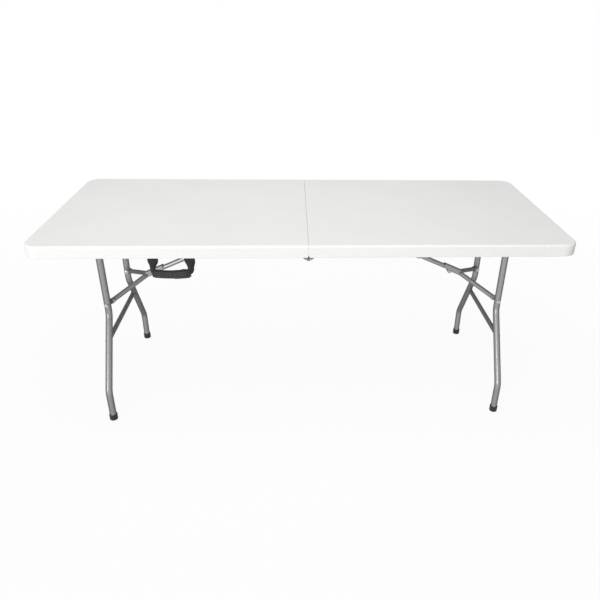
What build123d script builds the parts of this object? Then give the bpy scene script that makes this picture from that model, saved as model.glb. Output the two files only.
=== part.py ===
from build123d import *
import os
from math import atan2, cos, degrees, hypot, radians, sin

# A fold-in-half table: two moulded halves on steel rails, joined at the seam by two-pin link
# hinges, with a folding leg frame and a folding brace under each half. Millimetres.
# +X runs along the table, +Y to the back, +Z up. The origin is on the floor under the seam's middle.
# Every piece of a half is drawn on the +X side, and the other half is its mirror image.

# Overall size
table_length = 1800.0
table_width = 740.0
table_height = 740.0
seam_gap = 0.4

# Moulded top: a deck skin with an apron, and a liner skin under it
apron_height = 42.0
apron_thickness = 12.0
panel_thickness = 16.0
deck_skin = 2.5
liner_skin = 2.0
corner_radius = 50.0
top_edge_radius = 7.0
bottom_edge_radius = 3.0
seam_edge_radius = 1.5
seam_notch_width = 6.0
seam_notch_height = 12.0
dent_mouth_radius = 17.0
dent_tip_radius = 10.0
dent_pitch = 88.0
dent_margin = 60.0
dent_rail_gap = 10.0

# Side rails
rail_width = 15.0
rail_height = 25.0
rail_wall = 1.2
rail_apron_gap = 7.0
rail_seam_gap = 20.0
rail_past_legs = 36.0
rail_screw_count = 4
rail_screw_setback = 95.0
rail_plug_length = 12.0
rail_cap_flange = 2.0
screw_radius = 2.0
screw_head_radius = 4.5
screw_head_height = 2.4
screw_cover = 1.0
boss_radius = 7.0
head_rounding = 0.75

# Centre hinges
link_spacing = 18.0
link_radius = 6.5
link_tip_drop = 6.5
link_tip_radius = 6.0
hinge_pin_radius = 3.0
hinge_head_radius = 5.0
hinge_head_height = 1.5
cheek_thickness = 3.0
cheek_lobe_radius = 6.5
cheek_length = 52.0
cheek_margin = 2.0
cheek_neck_radius = 8.0
cheek_rivet_radius = 2.5
cheek_rivet_setback = 13.0
plate_corner_radius = 3.0

# Leg frames
leg_radius = 12.5
leg_wall = 1.2
leg_setback = 161.0
leg_upper_y = 148.0
leg_lower_y = 295.5
leg_upper_bend_z = 377.0
leg_lower_bend_z = 125.0
leg_bend_radius = 60.0
foot_wall = 2.5
foot_height = 24.0
foot_floor = 4.0
foot_edge_radius = 2.0
crossbar_z = 287.0
bush_flange = 1.5
bush_plug_length = 22.0
spigot_radius = 4.5
spigot_proud = 1.0
pivot_gap = 3.0

# Brace: a strut from the half, a wishbone from the legs, and a knee between them
bar_radius = 9.0
bar_wall = 1.0
bar_gap = 3.0
brace_pivot_z = 416.0
strut_pivot_x = 55.0
strut_eye_margin = 1.0
knee_drop = 10.0
knee_eye_radius = 7.5
knee_lobe_radius = 8.0
brace_pin_radius = 3.0
brace_head_radius = 5.0
brace_head_height = 1.8
channel_wall = 2.0
channel_overlap = 30.0
channel_lip = 4.0
channel_blend_near = 2.0
channel_blend_far = 6.0
wishbone_corner = 36.0
wishbone_crown_radius = 28.0
wishbone_shoulder_radius = 14.0
tongue_thickness = 4.0
tongue_half_height = 9.5
tongue_length = 18.0
leg_rivet_radius = 4.0
leg_rivet_head_radius = 8.0
leg_rivet_head_height = 4.0
bracket_wall = 2.5
bracket_length = 44.0
bracket_width = 40.0
bracket_screw_y = 16.0
bracket_screw_x = 15.0
bracket_screw_head_radius = 3.5
ring_wall = 2.2
ring_length = 18.0
ring_corner_radius = 3.0
ring_parked = 150.0
ring_locked = 18.0
recess_half_width = 24.0
recess_bracket_gap = 5.0
recess_knee_gap = 18.0
recess_roof_gap = 2.5

# Webbing handle on the front of the left half
handle_x = -441.0
handle_spacing = 118.0
webbing_width = 30.0
webbing_thickness = 2.2
handle_fall = 82.0
grip_height = 24.0
grip_thickness = 9.0
grip_edge_radius = 3.6
tab_top_gap = 2.0
handle_rivet_radius = 3.0
handle_rivet_head_radius = 7.0
handle_rivet_head_height = 2.0

# Clearances
running_clearance = 0.05
seat_clearance = 0.02
side_clearance = 0.5
slip_clearance = 0.3
fold_clearance = 3.5
recess_clearance = 1.0
break_through = 1.0

# Heights that follow from the top
apron_bottom = table_height - apron_height
underside = table_height - panel_thickness
deck_inside = table_height - deck_skin
screw_top = deck_inside - screw_cover
leg_x = table_length / 2 - leg_setback

# The knee channel's and the lock ring's distances from the middle of the strut
channel_inside = bar_radius + side_clearance
channel_outside = channel_inside + channel_wall
ring_inside = channel_outside + slip_clearance
ring_outside = ring_inside + ring_wall
strut_eye_radius = bar_radius + strut_eye_margin

# Heights from the deck downwards, with all folded: recess, strut, crossbar flush with the legs' outer
# side, legs with their feet, the plane where the two halves meet, and the hinges that bring them there.
# The legs' cross tube clears the folded strut's crossbar and the underside, whichever is lower.
recess_ceiling = deck_inside - recess_roof_gap - liner_skin
strut_pivot_z = recess_ceiling - recess_clearance - ring_outside
crossbar_x = leg_x + leg_radius - bar_radius
below_strut = strut_pivot_z - bar_radius - bar_gap - bar_radius + crossbar_x - leg_x
pivot_z = min(below_strut, underside - pivot_gap - leg_radius)
foot_radius = leg_radius + foot_wall
closing_z = pivot_z - foot_radius - fold_clearance
hinge_x = link_spacing / 2
hinge_z = closing_z + hinge_x

# Rails, counted outwards from the middle of the table
rail_outer = table_width / 2 - apron_thickness - rail_apron_gap
rail_inner = rail_outer - rail_width
rail_middle = (rail_inner + rail_outer) / 2
rail_bottom = underside - rail_height
rail_middle_z = underside - rail_height / 2
rail_end = leg_x + rail_past_legs

# Brace lengths: in line with the legs down, and the strut level with the legs folded
reach = hypot(leg_x - strut_pivot_x, strut_pivot_z - brace_pivot_z)
slope = atan2(strut_pivot_z - brace_pivot_z, leg_x - strut_pivot_x)
folded_x = leg_x - (pivot_z - brace_pivot_z) - strut_pivot_x
folded_z = pivot_z - strut_pivot_z
folded_rise = (knee_drop**2 - (knee_drop + folded_z) ** 2) / (reach - folded_x)
strut_length = (folded_rise + folded_x + reach) / 2
wishbone_length = reach - strut_length

# Planes whose X and Y are a sketch's own, and whose Z points at the viewer
side_plane = Plane.XZ
along_strut = (cos(slope), 0, -sin(slope))
brace_plane = Plane(origin=(strut_pivot_x, 0, strut_pivot_z), x_dir=along_strut, z_dir=(0, -1, 0))
knee_plane = Plane(
    origin=brace_plane.from_local_coords((strut_length, 0, 0)), x_dir=along_strut, z_dir=(0, -1, 0)
)


def plan(inset, seam_inset):
    """A half's outline from above, drawn in from its three outer sides and from the seam."""
    near = seam_gap / 2 + seam_inset
    far = table_length / 2 - inset
    outline = Pos((near + far) / 2, 0) * Rectangle(far - near, table_width - 2 * inset)
    return fillet(outline.vertices().group_by(Axis.X)[-1], corner_radius - inset)


def upright(sketch, low, high):
    """A sketch in plan, raised from one height to another."""
    return extrude(Pos(0, 0, low) * sketch, amount=high - low)


def box(x_low, x_high, y_low, y_high, z_low, z_high):
    """A block between two corners."""
    middle = Pos((x_low + x_high) / 2, (y_low + y_high) / 2, (z_low + z_high) / 2)
    return middle * Box(x_high - x_low, y_high - y_low, z_high - z_low)


def across(sketch, y_one, y_two, plane=side_plane):
    """A sketch seen from the front, made solid between two distances from front to back."""
    nearest = min(y_one, y_two)
    furthest = max(y_one, y_two)
    return extrude(plane.offset(-furthest) * sketch, amount=furthest - nearest)


def round_across(x, height, radius, y_one, y_two, plane=side_plane):
    """A round pin or hole that runs from front to back."""
    return across(Pos(x, height) * Circle(radius), y_one, y_two, plane)


def drilled(x, height, radius, y_one, y_two, plane=side_plane):
    """A hole from front to back that breaks through both faces."""
    low = min(y_one, y_two) - break_through
    return round_across(x, height, radius, low, max(y_one, y_two) + break_through, plane)


def bent_bar(points, bends, radius):
    """A round bar along straight runs with rounded bends."""
    path = FilletPolyline(*points, radius=bends)
    return sweep(Plane(origin=path @ 0, z_dir=path % 0) * Circle(radius), path=path)


def rivet(radius, head_radius, head_height, y_shank, y_face, x, height, plane=side_plane):
    """A shank from front to back with a domed head beyond its outer face."""
    outward = 1 if y_face > y_shank else -1
    top = y_face + outward * head_height
    head = round_across(x, height, head_radius, y_face, top, plane)
    rim = head.edges().filter_by(GeomType.CIRCLE).sort_by(Axis.Y)
    head = fillet(rim[-1] if outward > 0 else rim[0], head_height * head_rounding)
    return head + round_across(x, height, radius, y_shank, y_face, plane)


def screw(x, y, head_radius, face):
    """A pan-head screw driven up towards the deck, its head below the face it clamps."""
    head = upright(Pos(x, y) * Circle(head_radius), face - screw_head_height, face)
    head = fillet(head.edges().group_by(Axis.Z)[0], screw_head_height * head_rounding)
    return head + upright(Pos(x, y) * Circle(screw_radius), face, screw_top - screw_cover)


def rail_screw_places():
    """Distances along a rail of the screws that hold it to the top."""
    first = rail_screw_setback
    step = (leg_x - rail_screw_setback - first) / (rail_screw_count - 1)
    return [first + step * i for i in range(rail_screw_count)]


def bracket_screw_places():
    """Places in plan of the four screws that hold the strut's bracket."""
    return [
        (strut_pivot_x + along * bracket_screw_x, side * bracket_screw_y)
        for along in (-1, 1)
        for side in (-1, 1)
    ]


def seam_notch():
    """What the rounded lower corners at the seam leave free, from front to back."""
    corner_x = seam_gap / 2 + seam_notch_width
    corner_z = apron_bottom + seam_notch_height
    notch = Pos(corner_x / 2, corner_z - seam_notch_height / 2) * Rectangle(corner_x, seam_notch_height)
    notch -= Pos(corner_x, corner_z) * Ellipse(seam_notch_width, seam_notch_height)
    return across(notch, -table_width, table_width)


def moulded_deck():
    """The top skin: the table surface, its apron on three sides and a turned-in lip."""
    deck = upright(plan(0, 0), apron_bottom, table_height)
    rim = deck.edges().group_by(Axis.Z)[-1].filter_by(lambda e: e.center().X > seam_gap)
    deck = fillet(rim, top_edge_radius)
    foot = deck.edges().group_by(Axis.Z)[0].filter_by(lambda e: e.center().X > seam_gap)
    deck = fillet(foot, bottom_edge_radius)
    seam_edge = deck.edges().filter_by(Axis.Y).group_by(Axis.Z)[-1].sort_by(Axis.X)[0]
    deck = fillet(seam_edge, seam_edge_radius)
    deck -= upright(plan(deck_skin, deck_skin), apron_bottom + deck_skin, deck_inside)
    below = apron_bottom - break_through
    deck -= upright(plan(apron_thickness, -apron_thickness), below, underside)
    return deck - seam_notch()


def dent_places():
    """Places in plan of the dents that tie the liner to the deck, clear of the brace and the rails."""
    first_y = recess_half_width + dent_margin
    last_y = rail_inner - dent_rail_gap - dent_mouth_radius
    rows = int((last_y - first_y) // dent_pitch) + 1
    columns = int((table_length / 2 - 2 * dent_margin) // dent_pitch) + 1
    spread = (table_length / 2 - (columns - 1) * dent_pitch) / 2
    return [
        (spread + column * dent_pitch, side * (first_y + row * dent_pitch))
        for column in range(columns)
        for row in range(rows)
        for side in (-1, 1)
    ]


def dents(extra, height):
    """Tapered dents from the underside upwards, widened by the skin round them."""
    shapes = []
    for x, y in dent_places():
        cone = Cone(dent_mouth_radius + extra, dent_tip_radius + extra, height)
        shapes.append(Pos(x, y, underside + height / 2) * cone)
    return shapes


def moulded_liner():
    """The lower skin: a tray with dents up to the deck, a recess for the strut and screw bosses."""
    wall = apron_thickness - liner_skin
    liner = upright(plan(wall, deck_skin), apron_bottom + deck_skin, underside + liner_skin)
    liner -= upright(plan(apron_thickness, -apron_thickness), apron_bottom, underside)
    near = strut_pivot_x - bracket_length / 2 - recess_bracket_gap
    far = strut_pivot_x + strut_length + knee_eye_radius + recess_knee_gap
    half = recess_half_width + liner_skin
    roof = recess_ceiling + liner_skin
    liner += box(near - liner_skin, far + liner_skin, -half, half, underside, roof)
    bosses = [
        upright(Pos(x, side * rail_middle) * Circle(boss_radius), underside, deck_inside)
        for x in rail_screw_places()
        for side in (-1, 1)
    ]
    bosses += [
        upright(Pos(x, y) * Circle(2 * screw_radius), recess_ceiling, deck_inside)
        for x, y in bracket_screw_places()
    ]
    liner += bosses + dents(liner_skin, deck_inside - underside)
    half = recess_half_width
    below = underside - break_through
    liner -= box(near, far, -half, half, below, recess_ceiling)
    hole = Circle(screw_radius + seat_clearance)
    holes = [
        upright(Pos(x, side * rail_middle) * hole, below, screw_top)
        for x in rail_screw_places()
        for side in (-1, 1)
    ]
    holes += [upright(Pos(x, y) * hole, below, screw_top) for x, y in bracket_screw_places()]
    return liner - seam_notch() - holes - dents(0, deck_inside - liner_skin - underside)


def rail_run(x_low, x_high, inset):
    """A rounded block along the back rail, drawn in from the rail's four sides."""
    low = rail_bottom + inset
    block = box(x_low, x_high, rail_inner + inset, rail_outer - inset, low, underside - inset)
    return fillet(block.edges().filter_by(Axis.X), 2 * rail_wall - min(inset, rail_wall))


def side_rail(side):
    """A rectangular steel tube along a half's side, drilled for its screws, hinge and leg pivot."""
    rail = rail_run(rail_seam_gap, rail_end, 0)
    rail -= rail_run(rail_seam_gap - break_through, rail_end + break_through, rail_wall)
    rail -= drilled(leg_x, pivot_z, spigot_radius + running_clearance, rail_inner, rail_outer)
    screw_hole = Circle(screw_radius + slip_clearance)
    for x in rail_screw_places():
        place = Pos(x, rail_middle)
        rail -= upright(place * screw_hole, rail_bottom - break_through, underside + break_through)
    for x, z in cheek_rivet_places():
        rail -= drilled(x, z, cheek_rivet_radius + seat_clearance, rail_inner, rail_outer)
    return rail if side > 0 else mirror(rail, about=Plane.XZ)


def rail_cap(side):
    """A plastic plug in the outer end of a rail."""
    cap = rail_run(rail_end - rail_plug_length, rail_end, rail_wall + seat_clearance)
    cap += rail_run(rail_end, rail_end + rail_cap_flange, 0)
    return cap if side > 0 else mirror(cap, about=Plane.XZ)


def cheek_rivet_places():
    """Rivets of the hinge cheeks, as distances along the rail and heights."""
    near = rail_seam_gap + cheek_rivet_setback
    far = rail_seam_gap + cheek_length - cheek_rivet_setback
    return [(near, rail_middle_z), (far, rail_middle_z)]


def hinge_cheek(y_one, y_two):
    """A steel plate on a rail's face, with a lobe below the apron that takes the hinge pin."""
    lobe = Pos(hinge_x, hinge_z) * Circle(cheek_lobe_radius)
    neck_x = rail_seam_gap + cheek_neck_radius
    neck = Pos(neck_x, rail_middle_z) * Circle(cheek_neck_radius)
    arm = make_hull(lobe.edges() + neck.edges())
    plate = RectangleRounded(cheek_length, rail_height - 2 * cheek_margin, plate_corner_radius)
    plate = Pos(rail_seam_gap + cheek_length / 2, rail_middle_z) * plate
    cheek = across(arm + plate, y_one, y_two)
    cheek -= drilled(hinge_x, hinge_z, hinge_pin_radius + running_clearance, y_one, y_two)
    for x, z in cheek_rivet_places():
        cheek -= drilled(x, z, cheek_rivet_radius + seat_clearance, y_one, y_two)
    return cheek


def hinge_rivets(side):
    """The rivets that clamp two cheeks to a rail, with a flat head on each side."""
    outer = rail_outer + cheek_thickness
    inner = rail_inner - cheek_thickness
    rivets = []
    for x, z in cheek_rivet_places():
        shank = round_across(x, z, cheek_rivet_radius, side * inner, side * outer)
        for face, away in ((outer, 1), (inner, -1)):
            head_edge = face + away * hinge_head_height
            shank += round_across(x, z, 2 * cheek_rivet_radius, side * face, side * head_edge)
        rivets.append(shank)
    return rivets


def hinge_link(side):
    """The steel link between the cheeks, drawn down to a tip, with a hole for the pin of each half."""
    tip = Pos(0, hinge_z - link_tip_drop) * Circle(link_tip_radius)
    rounds = [Pos(x, hinge_z) * Circle(link_radius) for x in (-hinge_x, hinge_x)]
    shape = make_hull(tip.edges() + rounds[0].edges() + rounds[1].edges())
    near = side * (rail_inner + side_clearance)
    far = side * (rail_outer - side_clearance)
    link = across(shape, near, far)
    for x in (-hinge_x, hinge_x):
        link -= drilled(x, hinge_z, hinge_pin_radius + seat_clearance, near, far)
    return link


def hinge_pin(x, side):
    """A hinge pin through two cheeks and the link, headed at both ends."""
    inner = rail_inner - cheek_thickness - slip_clearance
    outer = rail_outer + cheek_thickness + slip_clearance
    pin = round_across(x, hinge_z, hinge_pin_radius, side * inner, side * outer)
    for face, away in ((inner, -1), (outer, 1)):
        head_edge = face + away * hinge_head_height
        pin += round_across(x, hinge_z, hinge_head_radius, side * face, side * head_edge)
    return pin


def leg_bar(side, radius):
    """A leg as a solid bar: straight down, splayed towards its side, and straight down to the floor."""
    points = [
        (leg_x, side * leg_upper_y, pivot_z - leg_wall),
        (leg_x, side * leg_upper_y, leg_upper_bend_z),
        (leg_x, side * leg_lower_y, leg_lower_bend_z),
        (leg_x, side * leg_lower_y, foot_floor),
    ]
    return bent_bar(points, leg_bend_radius, radius)


def pivot_ends():
    """Half the length of the cross tube that the legs are welded to."""
    return rail_inner - bush_flange - slip_clearance


def leg(side):
    """A steel leg, its top saddled on the cross tube and drilled for the brace rivet."""
    tube = leg_bar(side, leg_radius) - leg_bar(side, leg_radius - leg_wall)
    tube -= round_across(leg_x, pivot_z, leg_radius, -pivot_ends(), pivot_ends())
    near = side * (leg_upper_y - 2 * leg_radius)
    far = side * (leg_upper_y + 2 * leg_radius)
    return tube - round_across(leg_x, brace_pivot_z, leg_rivet_radius + seat_clearance, near, far)


def pivot_tube():
    """The cross tube on which a leg frame turns."""
    ends = pivot_ends()
    outer = round_across(leg_x, pivot_z, leg_radius, -ends, ends)
    return outer - drilled(leg_x, pivot_z, leg_radius - leg_wall, -ends, ends)


def pivot_bush(side):
    """A plastic plug in the cross tube, with a flange and a spigot that turns in the rail."""
    end = pivot_ends()
    flange_end = end + bush_flange
    plug_radius = leg_radius - leg_wall - seat_clearance
    bush = round_across(leg_x, pivot_z, plug_radius, side * (end - bush_plug_length), side * end)
    bush += round_across(leg_x, pivot_z, leg_radius, side * end, side * flange_end)
    spigot_end = side * (rail_outer + spigot_proud)
    return bush + round_across(leg_x, pivot_z, spigot_radius, side * flange_end, spigot_end)


def crossbar():
    """The lower bar between two legs, coped to their round sides."""
    bar = round_across(crossbar_x, crossbar_z, bar_radius, -leg_lower_y, leg_lower_y)
    bar -= round_across(crossbar_x, crossbar_z, bar_radius - bar_wall, -leg_lower_y, leg_lower_y)
    bar -= [leg_bar(-1, leg_radius), leg_bar(1, leg_radius)]
    return bar.solids().sort_by(lambda solid: abs(solid.center().Y))[0]


def foot_cap(side):
    """A plastic cap over the bottom of a leg."""
    place = Pos(leg_x, side * leg_lower_y)
    cap = upright(place * Circle(foot_radius), 0, foot_height)
    cap = fillet(cap.edges().filter_by(GeomType.CIRCLE), foot_edge_radius)
    socket = place * Circle(leg_radius + seat_clearance)
    return cap - upright(socket, foot_floor, foot_height + break_through)


def leg_rivet(side):
    """The brace rivet's half in a leg: a shank across the tube and a domed head outside."""
    inner = side * (leg_upper_y - leg_radius)
    outer = side * (leg_upper_y + leg_radius)
    return rivet(
        leg_rivet_radius,
        leg_rivet_head_radius,
        leg_rivet_head_height,
        inner,
        outer,
        leg_x,
        brace_pivot_z,
    )


def tongue_faces():
    """The inner and outer faces of a wishbone's tongue, beside the leg."""
    outer = leg_upper_y - leg_radius - slip_clearance
    return outer - tongue_thickness, outer


def wishbone_bar(radius):
    """The wishbone's bar from one leg round the crown by the knee to the other leg."""
    start = wishbone_length - tongue_length / 2
    shoulder = wishbone_length - tongue_length
    arm_y = tongue_faces()[1] - bar_radius
    points = [
        (start, 0, arm_y),
        (shoulder, 0, arm_y),
        (wishbone_corner, 0, 0),
        (shoulder, 0, -arm_y),
        (start, 0, -arm_y),
    ]
    bends = [wishbone_shoulder_radius, wishbone_crown_radius, wishbone_shoulder_radius]
    return bent_bar([knee_plane.from_local_coords(p) for p in points], bends, radius)


def wishbone():
    """The forked bar of a brace, with a flat tongue on each leg."""
    fork = wishbone_bar(bar_radius)
    inner, outer = tongue_faces()
    flat = SlotCenterToCenter(tongue_length, 2 * tongue_half_height)
    flat = Pos(wishbone_length - tongue_length / 2, 0) * flat
    for side in (-1, 1):
        fork += across(flat, side * inner, side * outer, knee_plane)
    fork -= wishbone_bar(bar_radius - bar_wall)
    for side in (-1, 1):
        hole = leg_rivet_radius + seat_clearance
        fork -= drilled(wishbone_length, 0, hole, side * inner, side * outer, knee_plane)
    return fork


def arm_rivet(side):
    """The brace rivet's half in a tongue: a head inside, flush with the tongue on the leg's side."""
    inner, outer = tongue_faces()
    return rivet(
        leg_rivet_radius,
        leg_rivet_head_radius,
        leg_rivet_head_height,
        side * outer,
        side * inner,
        wishbone_length,
        0,
        knee_plane,
    )


def channel_shape():
    """The knee channel seen from the side, round the end of the strut and the knee pin."""
    top = channel_outside
    points = [
        (-channel_overlap, top),
        (-channel_overlap, -channel_lip),
        (-knee_lobe_radius - channel_blend_near, -channel_lip),
        (-knee_lobe_radius, -knee_drop),
        (knee_lobe_radius, -knee_drop),
        (knee_lobe_radius + channel_blend_far, -bar_radius),
        (wishbone_corner + bar_radius, -bar_radius),
        (wishbone_corner + bar_radius, top),
    ]
    return make_face(Polyline(*points, close=True)) + Pos(0, -knee_drop) * Circle(knee_lobe_radius)


def knee_channel():
    """A folded steel channel, open below, welded to the wishbone's crown and turning on the knee pin."""
    channel = across(channel_shape(), -channel_outside, channel_outside, knee_plane)
    long_edges = channel.edges().filter_by(Axis((0, 0, 0), along_strut))
    folds = long_edges.sort_by(lambda edge: knee_plane.to_local_coords(edge.center()).Y)[-2:]
    channel = fillet(folds, ring_corner_radius)
    near = -channel_overlap - break_through
    far = wishbone_corner + bar_radius + break_through
    low = -knee_drop - knee_lobe_radius - break_through
    inside = Rectangle(far - near, channel_inside - low)
    inside = Pos((near + far) / 2, (channel_inside + low) / 2) * inside
    channel -= across(inside, -channel_inside, channel_inside, knee_plane)
    channel -= wishbone_bar(bar_radius)
    hole = brace_pin_radius + seat_clearance
    channel -= drilled(0, -knee_drop, hole, -channel_outside, channel_outside, knee_plane)
    return channel.solids().sort_by(SortBy.VOLUME)[-1]


def headed_pin(x, height, half_width, plane):
    """A brace pin from front to back with a head at each end."""
    face = half_width + slip_clearance
    pin = round_across(x, height, brace_pin_radius, -face, face, plane)
    for side in (-1, 1):
        head_edge = side * (face + brace_head_height)
        pin += round_across(x, height, brace_head_radius, side * face, head_edge, plane)
    return pin


def strut():
    """The brace's upper bar, with an eye at the bracket and an offset eye at the knee."""
    start = Plane(origin=brace_plane.origin, z_dir=along_strut)
    bar = extrude(start * Circle(bar_radius), amount=strut_length)
    bar += round_across(0, 0, strut_eye_radius, -bar_radius, bar_radius, brace_plane)
    bar += round_across(0, -knee_drop, knee_eye_radius, -bar_radius, bar_radius, knee_plane)
    web = Pos(-knee_eye_radius / 2, -knee_drop / 2) * Rectangle(knee_eye_radius, knee_drop)
    bar += across(web, -bar_radius / 2, bar_radius / 2, knee_plane)
    hollow_start = start.offset(strut_eye_radius)
    hollow_length = strut_length - strut_eye_radius - 2 * knee_eye_radius
    bar -= extrude(hollow_start * Circle(bar_radius - bar_wall), amount=hollow_length)
    hole = brace_pin_radius + running_clearance
    bar -= drilled(0, 0, hole, -bar_radius, bar_radius, brace_plane)
    return bar - drilled(0, -knee_drop, hole, -bar_radius, bar_radius, knee_plane)


def strut_bracket():
    """A steel saddle screwed up into the recess, with two cheeks for the strut's pin."""
    inner = bar_radius + side_clearance
    outer = inner + bracket_wall
    base_bottom = recess_ceiling - bracket_wall
    base = Pos(strut_pivot_x, 0) * RectangleRounded(bracket_length, bracket_width, plate_corner_radius)
    bracket = upright(base, base_bottom, recess_ceiling)
    lobe = Pos(strut_pivot_x, strut_pivot_z) * Circle(strut_eye_radius)
    root_height = base_bottom - strut_pivot_z + bracket_wall / 2
    root = Rectangle(2 * strut_eye_radius, root_height)
    root = Pos(strut_pivot_x, strut_pivot_z + root_height / 2) * root
    for side in (-1, 1):
        bracket += across(lobe + root, side * inner, side * outer)
    hole = brace_pin_radius + seat_clearance
    bracket -= drilled(strut_pivot_x, strut_pivot_z, hole, -outer, outer)
    screw_hole = Circle(screw_radius + slip_clearance)
    for x, y in bracket_screw_places():
        hole = Pos(x, y) * screw_hole
        bracket -= upright(hole, base_bottom - break_through, recess_ceiling + break_through)
    return bracket


def lock_ring():
    """A sliding steel ring on the strut that goes over the knee channel to lock it."""
    low = -bar_radius - slip_clearance
    middle = (ring_inside + low) / 2
    inner = RectangleRounded(ring_inside - low, 2 * ring_inside, ring_corner_radius)
    outer = offset(inner, ring_wall)
    centre = brace_plane.from_local_coords((strut_length - ring_parked - ring_length / 2, 0, 0))
    across_strut = Plane(origin=centre, x_dir=(sin(slope), 0, cos(slope)), z_dir=along_strut)
    return extrude(across_strut * Pos(middle, 0) * (outer - inner), amount=ring_length)


def handle_places():
    """The middles of the handle's two straps along the table."""
    return [handle_x - handle_spacing / 2, handle_x + handle_spacing / 2]


def handle_tabs():
    """The fixed ends of the webbing, flat against the outer face of the front rail."""
    low = apron_bottom - slip_clearance
    half = webbing_width / 2
    face = -rail_outer - webbing_thickness
    tabs = []
    for x in handle_places():
        tab = box(x - half, x + half, face, -rail_outer, low, underside - tab_top_gap)
        hole = handle_rivet_radius + seat_clearance
        tabs.append(tab - drilled(x, rail_middle_z, hole, face, -rail_outer))
    return tabs


def handle_rivets():
    """The rivets that hold the webbing to the rail, with washer-wide heads."""
    face = -rail_outer - webbing_thickness
    return [
        rivet(
            handle_rivet_radius,
            handle_rivet_head_radius,
            handle_rivet_head_height,
            -rail_outer,
            face,
            x,
            rail_middle_z,
        )
        for x in handle_places()
    ]


def handle_axis():
    """Distance from front to back and height of the line where the webbing bends."""
    half_thickness = webbing_thickness / 2
    return -rail_outer - half_thickness, apron_bottom - 2 * slip_clearance - half_thickness


def handle_loop():
    """The hanging loop of webbing: two straps and a doubled grip along the bottom."""
    y, top = handle_axis()
    bottom = apron_bottom - handle_fall
    half = webbing_width / 2
    thick = webbing_thickness / 2
    left, right = handle_places()
    front = y - grip_thickness / 2
    loop = box(left - half, right + half, front, front + grip_thickness, bottom, bottom + grip_height)
    loop = fillet(loop.edges().filter_by(Axis.X), grip_edge_radius)
    for x in (left, right):
        loop += box(x - half, x + half, y - thick, y + thick, bottom + grip_height / 2, top)
        ends = Plane(origin=(x - half, y, top), z_dir=(1, 0, 0))
        loop += extrude(ends * Circle(thick), amount=webbing_width)
    return loop


def half_pieces():
    """Every piece of the half on the +X side, by name, each a list of solids."""
    sides = {"front": -1, "back": 1}
    outer = rail_outer + cheek_thickness
    inner = rail_inner - cheek_thickness
    bracket_face = recess_ceiling - bracket_wall
    pieces = {
        "deck": [moulded_deck()],
        "liner": [moulded_liner()],
        "pivot_tube": [pivot_tube()],
        "crossbar": [crossbar()],
        "strut": [strut()],
        "strut_bracket": [strut_bracket()],
        "strut_pin": [headed_pin(0, 0, bar_radius + side_clearance + bracket_wall, brace_plane)],
        "wishbone": [wishbone()],
        "knee_channel": [knee_channel()],
        "knee_pin": [headed_pin(0, -knee_drop, channel_outside, knee_plane)],
        "lock_ring": [lock_ring()],
        "bracket_screws": [
            screw(x, y, bracket_screw_head_radius, bracket_face) for x, y in bracket_screw_places()
        ],
        "hinge_cheeks": [],
        "hinge_rivets": [],
        "rail_screws": [],
        "rail_caps": [],
        "pivot_bushes": [],
        "leg_rivets": [],
        "arm_rivets": [],
    }
    for end, side in sides.items():
        pieces[f"{end}_rail"] = [side_rail(side)]
        pieces[f"{end}_leg"] = [leg(side)]
        pieces[f"{end}_foot"] = [foot_cap(side)]
        pieces["hinge_cheeks"].append(hinge_cheek(side * rail_outer, side * outer))
        pieces["hinge_cheeks"].append(hinge_cheek(side * inner, side * rail_inner))
        pieces["hinge_rivets"] += hinge_rivets(side)
        for x in rail_screw_places():
            rail_screw = screw(x, side * rail_middle, screw_head_radius, rail_bottom)
            pieces["rail_screws"].append(rail_screw)
        pieces["rail_caps"].append(rail_cap(side))
        pieces["pivot_bushes"].append(pivot_bush(side))
        pieces["leg_rivets"].append(leg_rivet(side))
        pieces["arm_rivets"].append(arm_rivet(side))
    return pieces


def table_pieces():
    """Every piece of the table by node name."""
    pieces = {}
    for name, solids in half_pieces().items():
        pieces[f"right_{name}"] = solids
        pieces[f"left_{name}"] = [mirror(solid, about=Plane.YZ) for solid in solids]
    pieces["front_hinge_link"] = [hinge_link(-1)]
    pieces["back_hinge_link"] = [hinge_link(1)]
    pieces["hinge_pins"] = [hinge_pin(x, side) for x in (-hinge_x, hinge_x) for side in (-1, 1)]
    pieces["handle_tabs"] = handle_tabs()
    pieces["handle_rivets"] = handle_rivets()
    pieces["handle_loop"] = [handle_loop()]
    return pieces


os.makedirs("parts", exist_ok=True)
for node, solids in table_pieces().items():
    shape = solids[0] if len(solids) == 1 else Compound(children=solids)
    export_step(shape, f"parts/{node}.step")

strut_lift = degrees(slope)
knee_start = degrees(atan2(knee_drop, wishbone_length))
knee_end = degrees(atan2(folded_z + knee_drop, folded_x - strut_length)) % 360 - 360
print("hinge", hinge_x, hinge_z, "leg pivot", leg_x, pivot_z, "strut pivot", strut_pivot_x, strut_pivot_z)
print("knee pin", knee_plane.from_local_coords((0, -knee_drop, 0)), "strut lift", strut_lift)
print("knee turn", knee_end - knee_start, "handle axis", handle_axis(), "along strut", along_strut)
print("strut", strut_length, "wishbone", wishbone_length, "ring travel", ring_parked - ring_locked)
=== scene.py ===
from math import cos, pi, radians, sin, sqrt

import bmesh
import bpy
from mathutils import Matrix, Vector


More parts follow.
